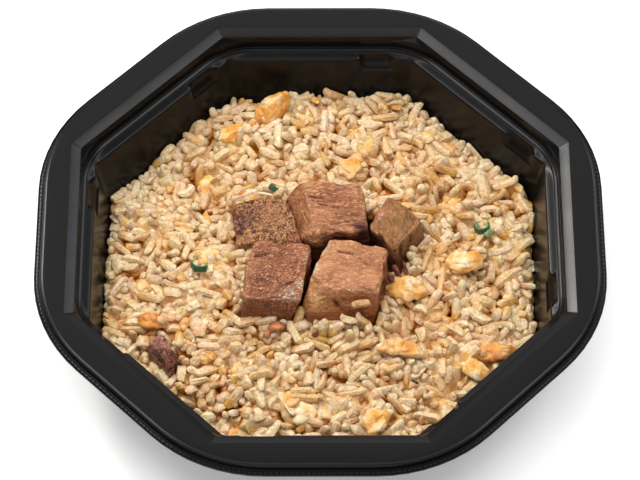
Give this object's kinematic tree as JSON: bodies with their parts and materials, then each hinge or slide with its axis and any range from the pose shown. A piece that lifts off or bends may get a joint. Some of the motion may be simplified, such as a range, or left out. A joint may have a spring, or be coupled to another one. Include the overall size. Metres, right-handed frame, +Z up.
{
  "type": "fried rice",
  "caption": "Ready meal of fried rice with cubes of braised pork and scrambled egg, in an octagonal black plastic tray with a wide flanged rim.",
  "frame": {"origin": "on the table under the middle of the tray", "axes": "+Z up, +X to the eater's right, -Y towards the eater"},
  "size_m": [0.19, 0.19, 0.038],
  "materials": {
    "tray_plastic": "semi-gloss black polypropylene, thermoformed",
    "cooked_rice": "moist cooked grains with a thin film of oil",
    "braised_pork": "fibrous braised meat with a glaze",
    "scrambled_egg": "soft curds of fried egg"
  },
  "bodies": {
    "root": {"tray": "tray_plastic", "fried_rice": "cooked_rice", "pork_front_left": "braised_pork", "pork_front_right": "braised_pork", "pork_back_middle": "braised_pork", "pork_back_left": "braised_pork", "pork_right": "braised_pork", "pork_scrap": "braised_pork", "egg_far": "scrambled_egg", "egg_far_left": "scrambled_egg", "egg_behind_pork": "scrambled_egg", "egg_right": "scrambled_egg", "egg_by_pork": "scrambled_egg", "egg_near_middle": "scrambled_egg", "egg_browned": "scrambled_egg", "egg_curl": "scrambled_egg", "egg_near": "scrambled_egg", "egg_left": "scrambled_egg"}
  },
  "joints": []
}
